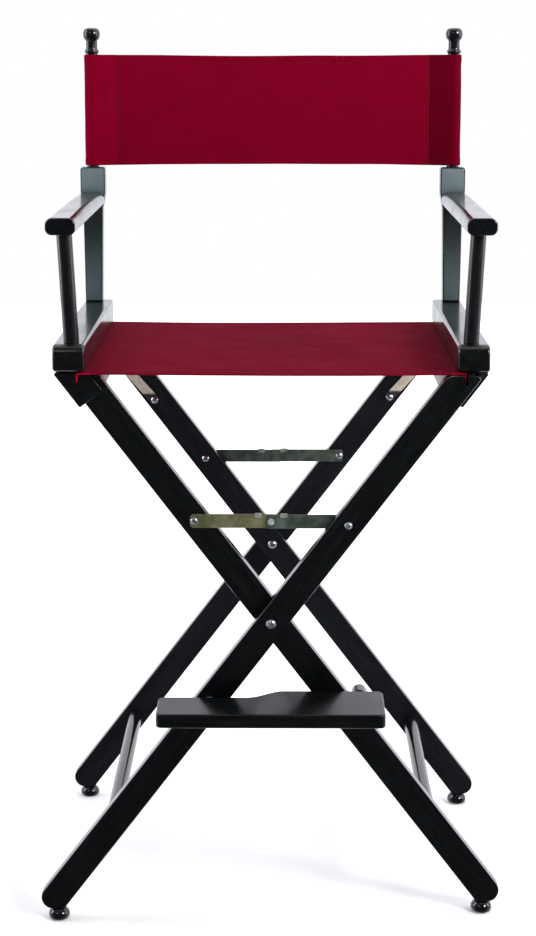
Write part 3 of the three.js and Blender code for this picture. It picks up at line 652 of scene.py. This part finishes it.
def make_sleeve(side):
    name = "left" if side < 0 else "right"
    path = loop_path(side)
    ahead = np.gradient(path, axis=0)
    ahead /= np.linalg.norm(ahead, axis=1)[:, None]
    outward = np.stack([side * ahead[:, 1], -side * ahead[:, 0]], -1)
    run = path_length(path)
    profile = hem_profile(BACK_BOTTOM, BACK_TOP, BACK_HEM, FOLD_RADIUS, 0.0025)
    rise = path_length(profile)
    points, uvs = [], []
    for (x, y), out, u in zip(path, outward, run):
        column = []
        for z, depth in profile:
            end = min(z - BACK_BOTTOM, BACK_TOP - z)
            roll = 0.0006 * math.exp(-((end - 0.006) / 0.005) ** 2)
            crumple = 0.0005 * noise.noise(Vector((u / 0.02, z / 0.035, 7.0 * side)))
            free = 4 * min(u / run[-1], 1 - u / run[-1])
            push = depth + (roll + crumple) * min(1.0, free)
            push = min(push, 0.0004)
            column.append((x + out[0] * push, y + out[1] * push, z))
        points.append(column)
        uvs.append([(side * (SEAM_X + u), r) for r in rise])
    # The right sleeve takes the canvas with painted shade in front of its post.
    sleeve = surface(f"back_canvas_{name}_sleeve", np.array(points), np.array(uvs),
                     SHADED_CANVAS if side > 0 else BACK_CANVAS)
    rows = []
    for k, inset in enumerate((0.0015, 0.0075)):
        x = side * (SEAM_X + 0.0002) - side * inset
        heights = np.arange(BACK_BOTTOM + 0.002, BACK_TOP - 0.002, 0.003)
        line = [Vector(back_point(x, z, 0.0)) - Vector((0, 0.0002, 0)) for z in heights]
        rows.append(stitches(f"back_{name}_seam_stitches_{k + 1}", line, (0, -1, 0)))
    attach(sleeve, f"back_{name}")
    for row in rows:
        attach(row, f"back_{name}")


# ---------------------------------------------------------------- screws, rivets and brace ears
def recess_depth(x, z, r, radius):
    """How deep the cross recess is at a point of a screw's head, as a share of its dome."""
    reach = 0.56 * radius
    arm_half_width = 0.13 * radius * (1.2 - 0.6 * r / radius)
    if r >= reach or min(abs(x), abs(z)) >= arm_half_width:
        return 0.0
    return 0.62 * (1 - 0.7 * (r / reach) ** 3)


def fastener(name, node, radius, dome, shank, recess, material):
    """A domed head on its shank, with a cross recess if recess is true. It stands where the
    CAD node is."""
    low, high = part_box(node)
    cx, cz = (low.x + high.x) / 2, (low.z + high.z) / 2
    part = nodes[node]
    ys = np.array([v.co.y for v in part.data.vertices])
    rs = np.array([math.hypot(v.co.x - cx, v.co.z - cz) for v in part.data.vertices])
    head_y = float(np.mean(ys[rs > radius * 0.85]))
    facing = -1.0 if head_y - low.y < high.y - head_y else 1.0
    end = high.y if facing < 0 else low.y
    rings, sides = 22, 48
    spokes = [(math.cos(a), math.sin(a)) for a in (2 * math.pi * k / sides for k in range(sides))]
    points = []
    for i in range(rings + 1):
        r = radius * i / rings
        circle = []
        for x, z in ((r * c, r * s) for c, s in spokes):
            height = dome * (1 - (r / radius) ** 2.4)
            if recess:
                height -= dome * recess_depth(x, z, r, radius)
            circle.append((cx + x, head_y + facing * max(height, 0.0), cz + z))
        points.append(circle)
    for r, y in ((radius, head_y), (shank, head_y), (shank, end), (1e-5, end)):
        points.append([(cx + r * c, y, cz + r * s) for c, s in spokes])
    points = np.array(points).transpose(1, 0, 2)
    made = surface(name, points, points[:, :, [0, 2]], material, closed=True)
    crease = made.modifiers.new("edges", "EDGE_SPLIT")
    crease.split_angle = math.radians(50)
    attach(made, part["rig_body"])
    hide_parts(node)


def small_screw(name, node):
    fastener(name, node, 0.005, 0.0024, 0.0025, True, BOLT)


def make_fasteners():
    for end, rivet_dome in (("front", 0.0026), ("rear", 0.0012)):
        bolt, rivet = f"{end}_pivot_bolt", f"{end}_brace_rivet"
        fastener(f"{bolt}_head", bolt, 0.0065, 0.0028, 0.0038, True, BOLT)
        fastener(f"{rivet}_head", rivet, 0.0045, rivet_dome, 0.0030, False, RIVET)
        for side in ("left", "right"):
            small_screw(f"{end}_brace_{side}_screw_head", f"{end}_brace_{side}_screw")
            small_screw(f"{side}_{end}_strap_screw_head", f"{side}_{end}_hinge_strap_screw")


def rounded_outline(x, half_width, bottom, top, bend):
    """The (x, z) points of an upright rectangle with its corners rounded by bend."""
    right, left = half_width - bend, bend - half_width
    corners = ((right, top - bend), (left, top - bend), (left, bottom + bend), (right, bottom + bend))
    outline = []
    for start, (corner_x, corner_z) in enumerate(corners):
        for share in (0, 0.5, 1):
            angle = (start + share) * QUARTER
            outline.append((x + corner_x + bend * math.cos(angle), corner_z + bend * math.sin(angle)))
    return outline


def stop_tab(name, node, x):
    """A small ear on a brace link's top edge, a hair proud of both of its faces."""
    low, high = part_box(node)
    proud, ease = 0.00012, 0.0001
    half_depth = (high.y - low.y) / 2 + proud
    top, bottom = high.z + 0.0013, high.z - 0.0042
    outline = rounded_outline(x, 0.0048, bottom, top, 0.0010)
    count, middle_y, middle_z = len(outline), (low.y + high.y) / 2, (top + bottom) / 2
    rings = ((-half_depth, 0.9), (ease - half_depth, 1.0), (half_depth - ease, 1.0), (half_depth, 0.9))
    verts = [(x + (px - x) * share, middle_y + y, middle_z + (pz - middle_z) * share)
             for y, share in rings for px, pz in outline]
    faces = [tuple(reversed(range(count))), tuple(3 * count + k for k in range(count))]
    for r in range(3):
        for k in range(count):
            a, b = r * count + k, r * count + (k + 1) % count
            faces.append((a, b, b + count, a + count))
    mesh = bpy.data.meshes.new(name)
    mesh.from_pydata(verts, [], faces)
    shaping = bmesh.new()
    shaping.from_mesh(mesh)
    bmesh.ops.recalc_face_normals(shaping, faces=shaping.faces)
    shaping.to_mesh(mesh)
    shaping.free()
    made = place_mesh(name, mesh, EAR)
    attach(made, nodes[node]["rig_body"])


def make_stop_tabs():
    from_rivet = 0.017
    for end in ("front", "rear"):
        rivet_low, rivet_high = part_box(f"{end}_brace_rivet")
        centre = (rivet_low.x + rivet_high.x) / 2
        for side, sign in (("left", -1), ("right", 1)):
            node = f"{end}_brace_{side}_link"
            stop_tab(f"{end}_brace_{side}_stop_tab", node, centre + sign * from_rivet)


# ---------------------------------------------------------------- studio
def make_floor():
    """A pale studio floor that brightens smoothly into the white background."""
    mesh = bpy.data.meshes.new("floor")
    side, front, back = 5.0, -5.0, 6.0
    corners = [(-side, front, 0), (side, front, 0), (side, back, 0), (-side, back, 0)]
    mesh.from_pydata(corners, [], [(0, 1, 2, 3)])
    g = Graph("pale_floor")
    speck = g.noise(g.coordinates(), 3.0, 3.0)
    g.link(g.mix(speck, (0.86, 0.86, 0.86), (0.89, 0.89, 0.89)), g.shader.inputs["Base Color"])
    away = g.node("ShaderNodeVectorMath", operation="LENGTH")
    g.link(g.coordinates(), away.inputs[0])
    glow = g.span(away.outputs["Value"], 0.25, 1.3, 0.10, 0.9)
    g.link(glow, g.shader.inputs["Emission Strength"])
    g.set(Roughness=0.9, Specular_IOR_Level=0.1, Emission_Color=(1.0, 1.0, 1.0, 1.0))
    floor = place_mesh("floor", mesh, g.material)
    floor.location.z = -0.0004
    floor.visible_glossy = False


def area_light(name, place, aim, size, watts, colour=(1, 1, 1)):
    data = bpy.data.lights.new(name, "AREA")
    data.shape = "RECTANGLE"
    data.size, data.size_y = size
    data.energy = watts
    data.color = colour
    lamp = bpy.data.objects.new(name, data)
    lamp.location = place
    lamp.rotation_euler = (Vector(aim) - Vector(place)).to_track_quat("-Z", "Y").to_euler()
    scene.collection.objects.link(lamp)


def make_world():
    """White behind and above, dark on the side that the front faces."""
    world = bpy.data.worlds.new("studio")
    world.use_nodes = True
    tree = world.node_tree
    tree.nodes.clear()
    place = tree.nodes.new("ShaderNodeTexCoord")
    parts = tree.nodes.new("ShaderNodeSeparateXYZ")
    back = tree.nodes.new("ShaderNodeMapRange")
    back.interpolation_type = "SMOOTHSTEP"
    back.inputs["From Min"].default_value = -0.70
    back.inputs["From Max"].default_value = 0.55
    back.inputs["To Min"].default_value = 0.06
    back.inputs["To Max"].default_value = 1.3
    seen = tree.nodes.new("ShaderNodeLightPath")
    strength = tree.nodes.new("ShaderNodeMix")
    strength.data_type = "FLOAT"
    strength.inputs["B"].default_value = 1.0
    tint = tree.nodes.new("ShaderNodeMix")
    tint.data_type = "RGBA"
    tint.inputs[6].default_value = (0.93, 0.94, 1.0, 1.0)
    tint.inputs[7].default_value = (1.0, 1.0, 1.0, 1.0)
    shade = tree.nodes.new("ShaderNodeBackground")
    output = tree.nodes.new("ShaderNodeOutputWorld")
    tree.links.new(place.outputs["Generated"], parts.inputs[0])
    tree.links.new(parts.outputs[1], back.inputs["Value"])
    tree.links.new(back.outputs[0], strength.inputs["A"])
    tree.links.new(seen.outputs["Is Camera Ray"], strength.inputs["Factor"])
    tree.links.new(strength.outputs["Result"], shade.inputs["Strength"])
    tree.links.new(seen.outputs["Is Camera Ray"], tint.inputs[0])
    tree.links.new(tint.outputs[2], shade.inputs["Color"])
    tree.links.new(shade.outputs[0], output.inputs["Surface"])
    scene.world = world


def make_lights():
    lavender = (0.88, 0.88, 1.0)
    area_light("overhead_softbox", (0.2, 0.4, 3.0), (0, 0.1, 0.6), (2.6, 2.2), 18)
    area_light("right_key", (2.5, -2.1, 2.3), (0, 0.1, 0.8), (1.1, 1.1), 105, (1.0, 0.99, 0.97))
    area_light("front_fill", (-1.2, -2.8, 2.6), (0, 0.1, 0.8), (1.4, 1.0), 8, (0.96, 0.97, 1.0))
    area_light("right_strip", (2.5, 0.0, 1.6), (0, 0.1, 1.0), (0.7, 2.4), 26, lavender)
    area_light("left_strip", (-2.5, 0.0, 1.6), (0, 0.1, 1.0), (0.7, 2.4), 34, lavender)


def make_camera():
    data = bpy.data.cameras.new("camera")
    data.sensor_fit = "AUTO"
    data.sensor_width = 36.0
    data.lens = 75.56
    data.shift_y = -0.1474
    data.clip_start, data.clip_end = 0.05, 60
    camera = bpy.data.objects.new("camera", data)
    camera.location = (0.0142, -2.7384, 1.2045)
    camera.rotation_euler = (math.radians(90 - 8.66), 0, math.radians(0.41))
    scene.collection.objects.link(camera)
    scene.camera = camera


make_camera()
make_world()
make_lights()
make_floor()
polish_frames()
polish_arms()
make_seat()
make_back_panel()
make_sleeve(-1)
make_sleeve(1)
make_fasteners()
make_stop_tabs()
scene.view_settings.view_transform = "Standard"

bpy.context.view_layer.update()
